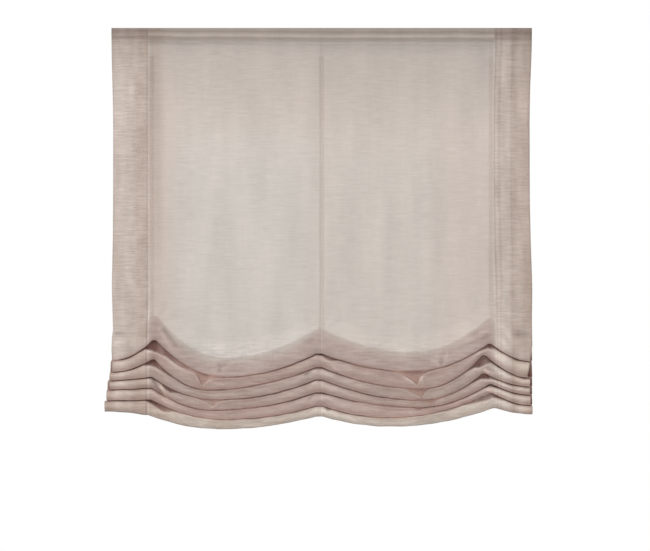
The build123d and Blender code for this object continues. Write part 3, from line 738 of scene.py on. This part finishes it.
def front_rows(x):
    """Rows over the columns x, from the cloth's top edge down to its bottom edge, with places and marks."""
    plane = np.full_like(x, STRIP_FRONT - CLOTH_BEHIND_STRIP)
    slack = swag(x)
    overlap = OVERLAP_AT_TAPE + (OVERLAP_IN_SWAG - OVERLAP_AT_TAPE) * slack
    bulge = BULGE_AT_TAPE + (BULGE_IN_SWAG - BULGE_AT_TAPE) * slack
    gather = plane + GATHER_BEHIND_CLOTH
    r, g = FOLD_RADIUS, GATHER_RADIUS
    lows = [edge_drop(edge, x) + wobble(x, EDGE_WOBBLE, k) for k, edge in enumerate(EDGES)]
    rows = []

    def add(spot, fold=0, **marks):
        rows.append({"y": spot[0], "drop": spot[1], "fold": fold, **dict.fromkeys(MARKS, 0.0), **marks})

    def on_to(end, steps, swell=0.0):
        """Steps from the last row to another one, with their numbers."""
        return enumerate(run((rows[-1]["y"], rows[-1]["drop"]), end, steps, swell))

    for i in range(HEADING_ROWS + 1):
        add((plane, np.full_like(x, HEADING * i / HEADING_ROWS)))
    swell_start = lows[0] - overlap - SWELL_HEIGHT
    for _, spot in on_to((plane, swell_start), FLAT_ROWS):
        add(spot)
    for i in range(1, SWELL_ROWS + 1):
        t = i / SWELL_ROWS
        spot = (plane - bulge * t * t * (3 - 2 * t), swell_start + (lows[0] - r - swell_start) * t)
        # Painted shade darkens the swell towards the first fold's edge
        add(spot, deep=EDGE_SHADE * fade(SWELL_ROWS - i, SWELL_REACH))
    front = plane - bulge
    for k, low in enumerate(lows):
        in_hem = k == HEM
        if k:
            front = plane - bulge + wobble(x, BULGE_WOBBLE, k)
            back = front + 2 * r + FOLD_GAP
            above = lows[k - 1]
            recess = recess_at(x, k)
            crest = above + recess + wobble(x, CREST_WOBBLE, k)
            # Marks for the colours: painted shade far down in the fold and near its edge, a painted highlight
            # on the rims of crests whose pockets are open, painted glow through the closed gap above, and
            # painted shadow down the front
            opened = np.clip((recess / PIXEL - RIM_FROM) / (RIM_FULL - RIM_FROM), 0, 1)
            light = light_below(x, slack, k - 1) * (1 - opened)
            rim = opened * (RIM_IN_HEM if in_hem else 1.0)
            for i, spot in on_to((back, above - INSIDE_ABOVE_EDGE), INSIDE_ROWS):
                add(spot, k, hidden=1.0, deep=(i + 1) / INSIDE_ROWS)
            for _, spot in on_to((back, crest - CREST_RADIUS), GAP_ROWS):
                add(spot, k, hidden=GAP_HIDDEN, deep=GAP_HIDDEN, light=light)
            for i in range(1, CREST_ROWS + 1):
                t = i / CREST_ROWS
                forward = back + (front + CREST_BEHIND_FRONT - back) * (1 - math.cos(math.pi * t)) / 2
                left = GAP_HIDDEN * (1 - t) ** 1.5
                spot = (forward, crest - CREST_RADIUS + 2 * CREST_RADIUS * t)
                add(spot, k, hidden=left, deep=left, rim=rim * t**3, light=light * left)
            end = (front + r, low) if in_hem else (front, low - r)
            beside = SIDE_ROWS_LEFT * (x < 0) + (x >= 0)
            for i, spot in on_to(end, FRONT_ROWS, BELLY):
                soft = 0.0 if in_hem else EDGE_SHADE * fade(FRONT_ROWS - 1 - i, FOLD_REACH)
                shadow = slack * SHADOW_ROWS[i] * (SHADOW_IN_HEM if in_hem else 1.0)
                shadow = (shadow + (1 - slack) * SIDE_ROWS[i] * beside) * (1 - opened)
                add(spot, k, deep=soft, rim=rim * fade(i, FOLD_REACH), shadow=shadow)
        if not in_hem:
            # Round the edge: painted shade under it, and painted glow through the closed gap below it
            for i, spot in enumerate(turn(front + r, low - r, r, EDGE_ROWS, 1)):
                share = 1 - fade(i, TURN_REACH)
                light = share * light_below(x, slack, k)
                add(spot, k, hidden=share, deep=max(share, EDGE_SHADE), light=light)
            top = low - overlap + g
            # Back up behind the fold, with painted shade that fades on the way up
            for i, spot in on_to((gather - g, top), BACK_ROWS):
                add(spot, k, hidden=1.0, deep=1 - (i + 1) / BACK_ROWS)
            for spot in turn(gather, top, g, GATHER_ROWS, -1):
                add(spot, k, hidden=1.0)
    return rows


def light_below(x, slack, k):
    """How much light comes through the closed gap below fold k, and fades the first one at its left end."""
    least, usual, most = GAP_LIGHT_RANGE
    light = slack * GAP_LIGHT[k] * np.clip(usual + wobble(x, GAP_WOBBLE, k), least, most)
    return light + (FAINT_END_LIGHT * over_columns(FAINT_END, x) if k == 0 else 0)


def recess_at(x, k):
    """How far below the edge above it fold k comes forward at x, in metres."""
    columns, heights = zip(*sorted(RECESSES[k - 1]))
    return np.interp(x, across(np.array(columns)), (LEAST_RECESS + np.array(heights)) * PIXEL)


def segment_distance(px, py, segment):
    """Distance in pixels to a crease, and the share along it."""
    x0, y0, x1, y1 = segment
    length = math.hypot(x1 - x0, y1 - y0)
    share = ((px - x0) * (x1 - x0) + (py - y0) * (y1 - y0)) / length**2
    held = np.clip(share, 0, 1)
    return np.hypot(px - x0 - held * (x1 - x0), py - y0 - held * (y1 - y0)), held


def outward(x, drop, visible):
    """How far each point stands out to the room because of ripples, tension folds and creases."""
    look = settings()
    px, py = column_of(x), row_of(drop)

    def crumples(scale, seed):
        return noise_at(x * scale[0], drop * scale[1], seed)

    slow = crumples(RIPPLE_SCALE, 0.3)
    crumpled = crumples(CRUMPLE_SCALE, 4.0) + FINE_CRUMPLE * crumples(FINE_CRUMPLE_SCALE, 6.0)
    free = smooth(*FREE_DROPS, drop)
    move = free * slow * look.ripple + over_rows(CRUMPLE_ROWS, drop) * crumpled * look.crumple
    for peak_x, peak_y in TENSION_POINTS:
        away = np.hypot(px - peak_x, py - peak_y)
        rays = np.cos(np.arctan2(py - peak_y, px - peak_x) * TENSION_RAYS + peak_x)
        move += TENSION_HEIGHT * rays * np.exp(-away / TENSION_REACH) * smooth(*TENSION_CLEAR, away) * free
    for ridge_y, height, width in HEADING_RIDGES:
        move += height * np.exp(-(((py - ridge_y) / width) ** 2)) * (1 + RIDGE_UNEVEN * slow)
    for *segment, width, depth in CREASES:
        distance, share = segment_distance(px, py, segment)
        move -= visible * depth * np.exp(-((distance / width) ** 2)) * (1 - CREASE_TAPER * share)
    return move


def cloth_points(columns):
    """Grid of points, rows by columns, the length along each column, and the rows' marks with two more: which
    fold each row belongs to, and how far each point of the cloth faces down."""
    rows = front_rows(columns)
    marks = {
        name: np.array([np.broadcast_to(row[name], columns.shape) for row in rows], dtype=float)
        for name in ("y", "drop", *MARKS)
    }
    drop, hidden = marks["drop"], marks["hidden"]
    fold = marks["fold"] = np.array([row["fold"] for row in rows])
    x = np.broadcast_to(columns, drop.shape).copy()
    lean_down, lean_left, lean_right = zip(*SIDE_LEAN)
    down = row_of(drop)
    for lean, side in ((lean_left, LEAN_LEFT), (lean_right, LEAN_RIGHT)):
        x += np.interp(down, lean_down, lean) * PIXEL * over_columns(side, x)
    left = smooth(-ENDS_FROM, -HALF_WIDTH, x) * over_rows(ENDS_ROWS, drop)
    right = smooth(ENDS_FROM, HALF_WIDTH, x) * (1 - hidden)
    behind = np.where(hidden[:, :1] > 0.5, np.maximum(fold - 1, 0)[:, None], fold[:, None])
    x += left * np.array(LEFT_ENDS)[behind] * PIXEL
    x += right * np.interp(down, *zip(*RIGHT_ENDS)) * PIXEL
    points = np.stack([x, marks["y"] - outward(x, drop, 1 - hidden), CLOTH_TOP - drop], axis=-1)
    along = np.zeros(x.shape)
    along[1:] = np.cumsum(np.linalg.norm(np.diff(points, axis=0), axis=-1), axis=0)
    facing = smooth(*FACING_DOWN, rear_normals(points)[..., 2])
    seen = (fold[:, None] < HEM) * (hidden < 1) * (down > STACK_TOP)
    marks["under"] = facing * seen
    return points, along, marks


def in_side_hem(x):
    """1 over the side hems, 0 between them."""
    return smooth(*HEM_SEAM, np.abs(x))


def in_bands(columns, x, drop, fold):
    """1 in the folds and in the first overlap above them, fading at the sides."""
    tight = (1 - swag(columns)) ** np.where(columns < 0, BAND_TIGHT_LEFT, 1.0)
    overlap = OVERLAP_IN_SWAG + (OVERLAP_AT_TAPE - OVERLAP_IN_SWAG) * tight
    below = drop - (edge_drop(EDGES[0], columns) - overlap)
    return np.where(fold[:, None] > 0, 1.0, smooth(*BAND_TOP, below)) * smooth(*BAND_ENDS, np.abs(x))


def tint(amount, colour):
    """What a full amount of a colour's darkening leaves of the light."""
    return 1 - np.asarray(amount)[..., None] * np.array(colour)


def fold_shade(columns, x, drop, marks):
    """Painted shade between folds, painted highlights on crest rims, painted shadow below them and painted
    crumple strokes.
    """
    deep, fold = marks["deep"], marks["fold"]
    # Painted shade between the folds: darkest at the tapes, lighter and pinker in the swags
    at_tape = np.array(SHADE_AT_TAPE)
    darkest = at_tape + (np.array(SHADE_IN_SWAG) - at_tape) * swag(columns)[None, :, None]
    faint = np.array([np.clip(wobble(columns, FAINT_WOBBLE, k), 0, FAINT_MOST) for k in range(len(EDGES))])
    faint[:2] += FAINT_SHADE * over_columns(FAINT_SHADE_END, columns)
    shade = 1 - (deep * (1 - faint[fold]))[..., None] * (1 - darkest)
    # Painted highlights on the rims of crests and painted shadow down the fronts of the folds
    shade *= 1 + marks["rim"][..., None] * np.array(RIM_HIGHLIGHT) - marks["shadow"][..., None] * np.array(SHADOW)
    # Painted highlights and painted shade along crumples
    for *segment, width, amount in PAINTED_CRUMPLE_STROKES:
        distance, share = segment_distance(column_of(x), row_of(drop), segment)
        shade *= 1 + (amount * np.exp(-((distance / width) ** 2)) * (1 - STROKE_TAPER * share))[..., None]
    return shade


def heading_shade(columns, x, drop):
    """Painted shade over the rail, which stops the light from behind, with the heading's lines, and painted
    shadow below it down the flat cloth.
    """
    shift = np.interp(column_of(x), *zip(*HEADING_SHIFT)) * PIXEL
    level = drop - shift + wobble(columns, HEADING_WOBBLE)
    shade = np.interp(level, *zip(*HEADING_SHADE))
    shade += (np.interp(level, *zip(*HEM_HEADING_SHADE)) - shade) * in_side_hem(x)
    return shade[..., None] ** np.array(HEADING_TINT)


def cloth_shade(columns, points, marks):
    """What the yarn's colour is multiplied by at each point: painted shade and light, hem layers and
    blotches.
    """
    x = points[..., 0]
    drop = CLOTH_TOP - points[..., 2]
    fold = marks["fold"]
    folded = np.where(fold[:, None] > 0, 1.0, 0.0)
    beside = in_side_hem(x)
    banded = in_bands(columns, x, drop, fold)
    shade = fold_shade(columns, x, drop, marks) * heading_shade(columns, x, drop)
    # Painted shade of the stacked layers in the bands of the folds, lighter in the hem's band
    shade *= tint(banded, 1 - np.array(BAND_SHADES)[fold][:, None, :])
    # Painted shade of the hems over the rail
    shade *= tint(beside * smooth(*HEM_HEADING_DROPS, drop), 1 - np.array(HEM_RAIL_SHADE))
    pink = (fold[:, None] == HEM) * over_columns(HEM_PINK_RISE, x) * over_columns(HEM_PINK_FALL, x)
    shade *= tint(pink, HEM_PINK)
    lit = np.interp(column_of(x), *zip(*LIT)) * smooth(*LIT_DROPS, drop) * (1 - banded)
    shade *= tint(-lit, LIT_TINT) * tint(-beside * (1 - folded), HEM_FLAT)
    shade *= tint(beside * folded, np.where(x[..., None] < 0, STACK_TINT_LEFT, STACK_TINT_RIGHT))
    layers = np.interp(column_of(x), *zip(*HEM_LAYERS))
    near_seam = (x > across(HEM_SHADOW_FROM)) * over_columns(HEM_SHADOW_COLUMNS, x)
    layers += HEM_SHADOW * near_seam * over_rows(HEM_SHADOW_ROWS, drop)
    shade *= tint(layers, 1 - np.array(LAYER))
    blotch = np.zeros(x.shape)
    seen_bands = banded * (banded > 0.02) * (marks["hidden"] < 0.5)
    for where, blotches in ((beside, HEM_BLOTCHES), (seen_bands, FOLD_BLOTCHES)):
        spots = where > 0
        for scale_x, scale_drop, seed, strength in blotches:
            patches = noise_at(x[spots] * scale_x, drop[spots] * scale_drop, seed)
            blotch[spots] += where[spots] * strength * patches
    return shade * tint(-blotch, BLOTCH_TINT)


def slub_strength(points, fold):
    """How strong the slubs of the weave are at each point of the cloth."""
    drop = CLOTH_TOP - points[..., 2]
    low = np.maximum(np.where(fold[:, None] > 0, 1.0, 0.0), over_rows(SLUB_ROWS, drop))
    strength = SLUB_FLAT + (SLUB_FOLD - SLUB_FLAT) * low
    strength += (SLUB_HEADING - strength) * smooth(HEADING, HEADING * 0.8, drop)
    return strength + (SLUB_HEM - strength) * in_side_hem(points[..., 0])


def rear_normals(points):
    """Unit normals of a grid of points, towards the side that faces the wall where the cloth hangs flat."""
    along = np.gradient(points, axis=0)
    side = np.gradient(points, axis=1)
    normal = np.cross(side, along)
    length = np.linalg.norm(normal, axis=-1, keepdims=True)
    return normal / np.maximum(length, 1e-12)


def grid_mesh(name, grid, uv, shade=None, glow=None, slub=None):
    """A mesh of quads over a grid of points, with a UV map in metres, shade, glow and slub strength."""
    rows, columns = grid.shape[:2]
    mesh = bpy.data.meshes.new(name)
    corners = np.arange(rows * columns).reshape(rows, columns)
    quads = np.stack(
        [corners[:-1, :-1], corners[1:, :-1], corners[1:, 1:], corners[:-1, 1:]], axis=-1
    ).reshape(-1, 4)
    mesh.from_pydata(grid.reshape(-1, 3).tolist(), [], quads.tolist())
    layer = mesh.uv_layers.new(name="Cloth")
    flat = uv.reshape(-1, 2)[quads.reshape(-1)]
    layer.data.foreach_set("uv", flat.astype(np.float32).ravel())
    for label, values, plain in (("Shade", shade, 1.0), ("Glow", glow, 0.0), ("Slub", slub, 1.0)):
        colours = np.full((rows * columns, 4), plain, dtype=np.float32)
        if values is not None:
            colours[:, :3] = values.reshape(rows * columns, -1)
        attribute = mesh.color_attributes.new(label, "FLOAT_COLOR", "POINT")
        attribute.data.foreach_set("color", colours.ravel())
    mesh.polygons.foreach_set("use_smooth", [True] * len(mesh.polygons))
    mesh.update()
    return mesh


def place(data, name=""):
    obj = bpy.data.objects.new(name or data.name, data)
    bpy.context.scene.collection.objects.link(obj)
    return obj


def column_places():
    """Columns across the front, evenly spaced, with one on each hem seam."""
    hem = HALF_WIDTH - SIDE_HEM
    left = np.linspace(-HALF_WIDTH, -hem, HEM_COLUMNS)
    middle = np.linspace(-hem, hem, MIDDLE_COLUMNS)
    return np.concatenate([left, middle[1:], -left[::-1][1:]])


class BLIND_OT_cloth(bpy.types.Operator):
    """Models the voile: heading, folds, and hems turned to the back at the top, sides and bottom"""

    bl_idname = "blind.cloth"
    bl_label = "Cloth"

    def execute(self, context):
        deselect()
        columns = column_places()
        points, along, marks = cloth_points(columns)
        rear = rear_normals(points)
        shade = cloth_shade(columns, points, marks)
        slub = slub_strength(points, marks["fold"])
        glow = marks["under"][..., None] * np.array(GLOW) + marks["light"][..., None] * np.array(CREVICE_GLOW)
        top_rows = np.searchsorted(along[:, 0], TOP_HEM)
        bottom_rows = np.searchsorted((along[-1, 0] - along[:, 0])[::-1], BOTTOM_HEM)
        down, over = range(len(points)), range(len(columns))
        rows = [*down[top_rows:0:-1], *down, *down[-2:-bottom_rows - 1:-1]]
        part = np.repeat((0, 1, 2), (top_rows, len(down), bottom_rows - 1))
        places = [*over[HEM_COLUMNS - 1::-1], *over, *over[:-HEM_COLUMNS - 1:-1]]
        turned = np.repeat((1, 0, 1), (HEM_COLUMNS, len(over), HEM_COLUMNS))
        pick = np.ix_(rows, places)
        layers = np.array((TOP_HEM_LAYER, 0, 1))[part][:, None] + SIDE_HEM_LAYER * turned[None, :]
        grid = points[pick] + rear[pick] * LAYER_GAP * layers[..., None]
        length = along[pick]
        v = np.choose(part[:, None], (-length, length, 2 * along[-1][places] - length))
        front = columns[places]
        u = np.where(turned, np.copysign(2 * HALF_WIDTH, front) - front, front)
        uv = np.stack([np.broadcast_to(u, v.shape), v], axis=-1)
        obj = place(grid_mesh("blind_cloth_voile", grid, uv, shade[pick], glow[pick], slub[pick]))
        dress(obj, "Voile")
        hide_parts("blind_cloth")
        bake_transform(obj)
        return {"FINISHED"}


class BLIND_OT_tapes(bpy.types.Operator):
    """Models the three tapes behind the cloth, each with a woven loop round its cord at every ring height"""

    bl_idname = "blind.tapes"
    bl_label = "Tapes"

    def execute(self, context):
        deselect()
        for side in SIDES:
            self.tape(side)
        return {"FINISHED"}

    def tape(self, side):
        low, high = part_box(f"tape_{side}")
        middle = (low[0] + high[0]) / 2
        half = (high[0] - low[0]) / 2
        columns = np.linspace(middle - half, middle + half, TAPE_COLUMNS)
        wider = np.array([columns[0] - TAPE_MARGIN, *columns, columns[-1] + TAPE_MARGIN])
        points, along, _ = cloth_points(wider)
        grid = (points + rear_normals(points) * TAPE_BEHIND_CLOTH)[:, 1:-1]
        along = along[:, 1:-1]
        inside = (along[:, 2] > TAPE_TOP) & (along[:, 2] < along[-1, 2] - TAPE_ABOVE_EDGE)
        grid = grid[inside]
        across_tape = np.broadcast_to(columns - columns[0], grid.shape[:2])
        uv = np.stack([across_tape, along[inside]], axis=-1)
        obj = place(grid_mesh(f"tape_{side}_woven", grid, uv))
        for drop in self.loop_drops(middle):
            close = grid[np.abs(CLOTH_TOP - grid[:, 2, 2] - drop) < LOOP_REACH, 2]
            tape_y = close[:, 1].max() if len(close) else CORD_Y
            self.loop(side, middle, tape_y, CLOTH_TOP - drop).select_set(True)
        obj.select_set(True)
        bpy.context.view_layer.objects.active = obj
        bpy.ops.object.join()
        deselect()
        solid = obj.modifiers.new("Thickness", "SOLIDIFY")
        solid.thickness = TAPE_THICKNESS
        solid.offset = 0
        dress(obj, "Tape Weave")
        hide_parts(f"tape_{side}")
        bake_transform(obj)

    def loop_drops(self, x):
        """Drops of the loops: where each fold is gathered, and evenly spaced up the flat cloth."""
        gather = 2 * GATHER_RADIUS - OVERLAP_AT_TAPE
        gathers = [edge_drop(edge, np.array([x]))[0] + gather for edge in EDGES[:-1]]
        flat = int((gathers[0] - TAPE_TOP) / LOOP_SPACING)
        return gathers + [gathers[0] - (i + 1) * LOOP_SPACING for i in range(flat)]

    def loop(self, side, x, tape_y, z):
        """A strip that leaves the tape, passes behind the cord and comes back."""
        half = LOOP_HALF_WIDTH
        back = CORD_Y + CORD_RADIUS + LOOP_BEHIND_CORD
        path = [(x - half, tape_y)]
        for i in range(LOOP_STEPS + 1):
            angle = math.pi * i / LOOP_STEPS
            path.append((x - half * math.cos(angle), back - half + half * math.sin(angle)))
        path.append((x + half, tape_y))
        heights = (z + LOOP_HALF_HEIGHT, z - LOOP_HALF_HEIGHT)
        grid = np.array([[(*spot, height) for spot in path] for height in heights])
        uv = np.zeros((*grid.shape[:2], 2))
        uv[..., 0] = np.linspace(0, LOOP_LENGTH, len(path))[None, :]
        uv[1, :, 1] = 2 * LOOP_HALF_HEIGHT
        return place(grid_mesh(f"tape_{side}_loop", grid, uv))


class BLIND_OT_cords(bpy.types.Operator):
    """Models the three braided lift cords, from the spools down to the toggles"""

    bl_idname = "blind.cords"
    bl_label = "Lift Cords"

    def execute(self, context):
        deselect()
        for side in SIDES:
            self.cord(side)
        return {"FINISHED"}

    def cord(self, side):
        low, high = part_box(f"lift_cord_{side}")
        x = (low[0] + high[0]) / 2
        length = high[2] - low[2]
        rings = int(length / CORD_RING)
        i = np.arange(rings + 1)[:, None]
        angle = (2 * math.pi / CORD_SIDES * np.arange(CORD_SIDES + 1))[None, :]
        strand = CORD_STRANDS * angle
        crossing = np.cos(strand + i * CORD_PITCH) * np.cos(strand - i * CORD_PITCH)
        radius = CORD_RADIUS * (1 - CORD_RELIEF + CORD_RELIEF * crossing)
        down = np.broadcast_to(length * i / rings, radius.shape)
        ring = (x + radius * np.cos(angle), CORD_Y + radius * np.sin(angle), high[2] - down)
        grid = np.stack(ring, axis=-1)
        uv = np.stack([np.broadcast_to(angle * CORD_RADIUS, radius.shape), down], axis=-1)
        obj = place(grid_mesh(f"lift_cord_{side}_braid", grid, uv))
        bm = bmesh.new()
        bm.from_mesh(obj.data)
        bmesh.ops.remove_doubles(bm, verts=bm.verts, dist=1e-7)
        bmesh.ops.holes_fill(bm, edges=[e for e in bm.edges if e.is_boundary], sides=0)
        bmesh.ops.recalc_face_normals(bm, faces=bm.faces)
        bm.to_mesh(obj.data)
        bm.free()
        dress(obj, "Cord Braid")
        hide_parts(f"lift_cord_{side}")
        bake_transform(obj)


def each_side(*names):
    return [f"{name}_{side}" for name in names for side in SIDES]


FINISHES = {
    "Hook and Loop": ["hook_strip", "loop_strip"],
    "Cord Braid": each_side("cord_winding"),
    "Rail Coat": ["head_rail"],
    "White Moulding": [
        *each_side("cord_toggle", "cord_spool", "spool_cradle"),
        "end_cap", "shaft_bush", "drive_housing", "drive_cover", "chain_wheel",
    ],
    "Zinc Plate": [
        "drive_shaft", "cover_screws",
        "bracket_left", "bracket_right", "bracket_lever_left", "bracket_lever_right",
    ],
    "Spring Steel": ["wrap_spring"],
}


class BLIND_OT_head(bpy.types.Operator):
    """Gives the head rail, its fittings and the brackets their finishes"""

    bl_idname = "blind.head"
    bl_label = "Head Rail Finishes"

    def execute(self, context):
        for material_name, names in FINISHES.items():
            for name in names:
                dress(NODES[name], material_name)
        return {"FINISHED"}


def area_light(name, target, offset, size, power):
    data = bpy.data.lights.new(name, "AREA")
    data.shape = "DISK"
    data.size = size
    data.energy = power
    obj = place(data, name)
    obj.location = target + Vector(offset)
    obj.rotation_euler = (-Vector(offset)).to_track_quat("-Z", "Y").to_euler()


class BLIND_OT_stage(bpy.types.Operator):
    """Sets up the white studio, the lights and the camera"""

    bl_idname = "blind.stage"
    bl_label = "Stage"

    def execute(self, context):
        scene = context.scene
        scene.view_settings.view_transform = "Standard"
        world = bpy.data.worlds.new("Studio")
        scene.world = world
        world.use_nodes = True
        tree = world.node_tree
        tree.nodes.clear()
        path = node(tree, "LightPath")
        seen = math_node(tree, "MAXIMUM", path.outputs["Is Camera Ray"], path.outputs["Is Glossy Ray"])
        seen = math_node(tree, "MAXIMUM", seen, path.outputs["Is Transmission Ray"])
        light = node(tree, "Background", {"Color": (1, 1, 1, 1), "Strength": AMBIENT})
        white = node(tree, "Background", {"Color": (1, 1, 1, 1), "Strength": 1.0})
        mixed = node(tree, "MixShader", {0: seen, 1: light.outputs[0], 2: white.outputs[0]})
        node(tree, "OutputWorld", {0: mixed.outputs[0]})
        middle = Vector((across(PHOTO_WIDTH / 2), STRIP_FRONT, CLOTH_TOP - below_top(PHOTO_HEIGHT / 2)))
        area_light("Key", middle, *KEY_LIGHT)
        area_light("Fill", middle, *FILL_LIGHT)
        camera = bpy.data.cameras.new("Camera")
        camera.lens = LENS
        camera.sensor_width = SENSOR
        camera.sensor_fit = "HORIZONTAL"
        obj = place(camera, "Camera")
        obj.location = middle - Vector((0, LENS / SENSOR * PHOTO_WIDTH * PIXEL, 0))
        obj.rotation_euler = (math.pi / 2, 0, 0)
        scene.camera = obj
        return {"FINISHED"}


class BLIND_PT_panel(bpy.types.Panel):
    bl_label = "Soft-fold Roman Blind"
    bl_idname = "BLIND_PT_panel"
    bl_space_type = "VIEW_3D"
    bl_region_type = "UI"
    bl_category = "Blind"

    def draw(self, context):
        for name in BlindSettings.__annotations__:
            self.layout.prop(context.scene.blind, name)
        for operator in OPERATORS:
            self.layout.operator(operator.bl_idname)


OPERATORS = (BLIND_OT_cloth, BLIND_OT_tapes, BLIND_OT_cords, BLIND_OT_head, BLIND_OT_stage)
CLASSES = (BlindSettings, *OPERATORS, BLIND_PT_panel)


def register():
    for cls in CLASSES:
        bpy.utils.register_class(cls)
    bpy.types.Scene.blind = PointerProperty(type=BlindSettings)


def unregister():
    del bpy.types.Scene.blind
    for cls in reversed(CLASSES):
        bpy.utils.unregister_class(cls)


def main():
    register()
    make_materials()
    bpy.ops.blind.cloth()
    bpy.ops.blind.tapes()
    bpy.ops.blind.cords()
    bpy.ops.blind.head()
    bpy.ops.blind.stage()


if __name__ == "__main__":
    main()
